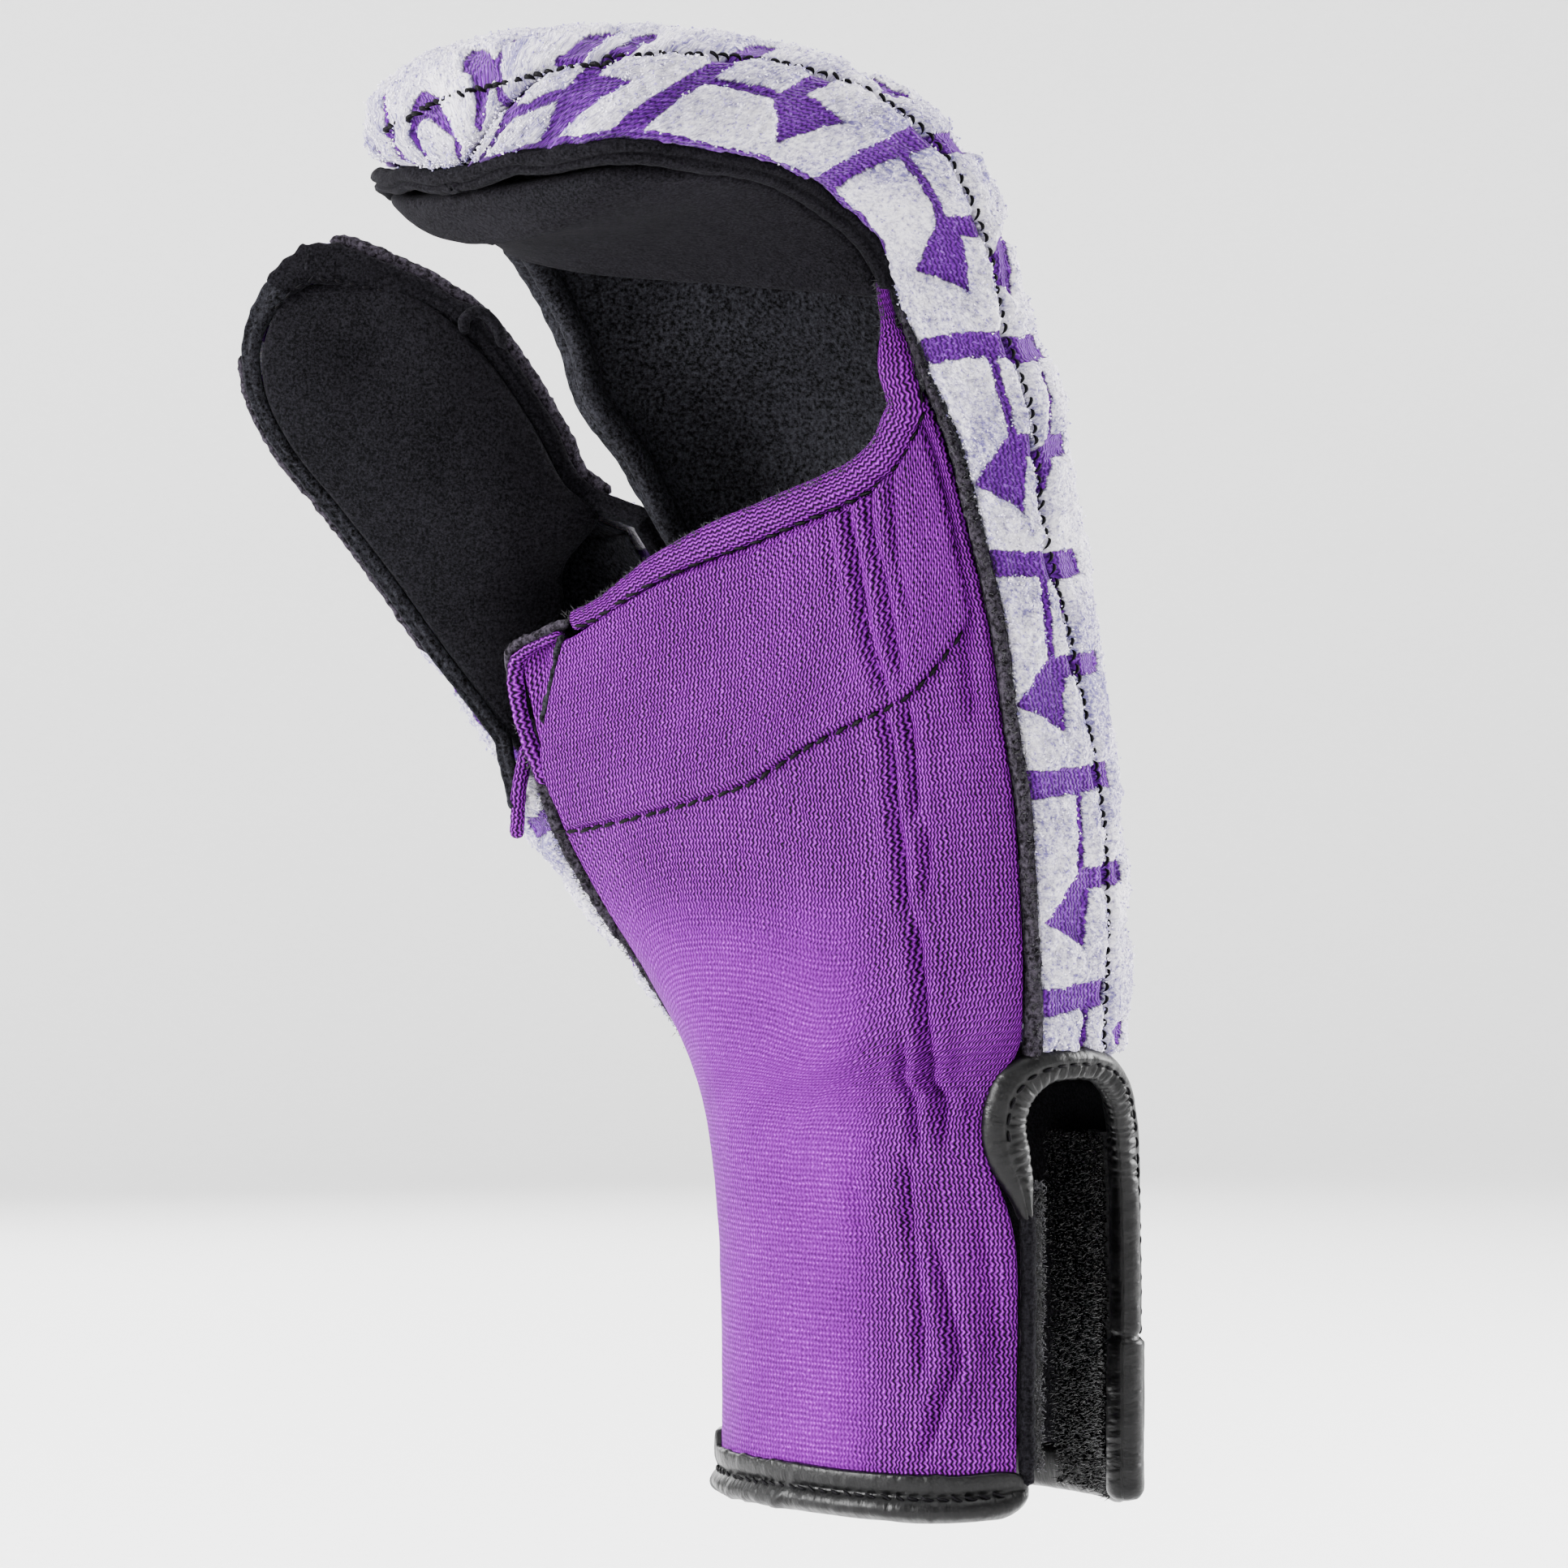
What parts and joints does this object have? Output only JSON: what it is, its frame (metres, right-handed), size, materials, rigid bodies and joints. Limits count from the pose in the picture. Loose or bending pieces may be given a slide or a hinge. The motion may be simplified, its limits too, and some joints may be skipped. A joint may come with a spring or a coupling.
{
  "type": "open-palm neoprene mitten",
  "caption": "Left-hand neoprene mitten with an open palm, a finger hood, a separate thumb and a hook-and-loop wrist slit.",
  "frame": {"origin": "middle of the wrist opening at the hem, where the wrist goes in", "axes": "+Z from the hem along the forearm to the fingers, +X toward the back of the hand, -Y toward the little finger"},
  "size_m": [0.1386, 0.1153, 0.2184],
  "materials": {
    "purple_knit": "matt knit over foam",
    "patterned_fleece": "soft pile",
    "black_suede": "napped smooth foam",
    "black_lining": "matt knit",
    "overlock_thread": "twisted thread",
    "soft_edging": "soft satin film",
    "hook_and_loop": "hooks and loops"
  },
  "bodies": {
    "root": {"palm_panel": "purple_knit", "palm_lining": "black_lining", "palm_patch": "purple_knit", "palm_edge_roll": "purple_knit", "palm_corner": "purple_knit", "side_panel": "patterned_fleece", "back_panel": "patterned_fleece", "hand_lining": "black_lining", "finger_pocket": "black_suede", "hand_edge": "black_lining", "ulnar_seam": "overlock_thread", "thumb_root_seam": "overlock_thread", "pocket_seam": "black_suede", "wrist_flap": "black_lining", "hook_tape": "hook_and_loop", "loop_tape": "hook_and_loop", "slit_binding": "soft_edging", "wrist_binding": "soft_edging", "cuff_binding": "soft_edging", "thumb_back": "patterned_fleece", "thumb_lining": "black_lining", "thumb_front": "black_suede", "thumb_seam": "black_suede"}
  },
  "joints": []
}
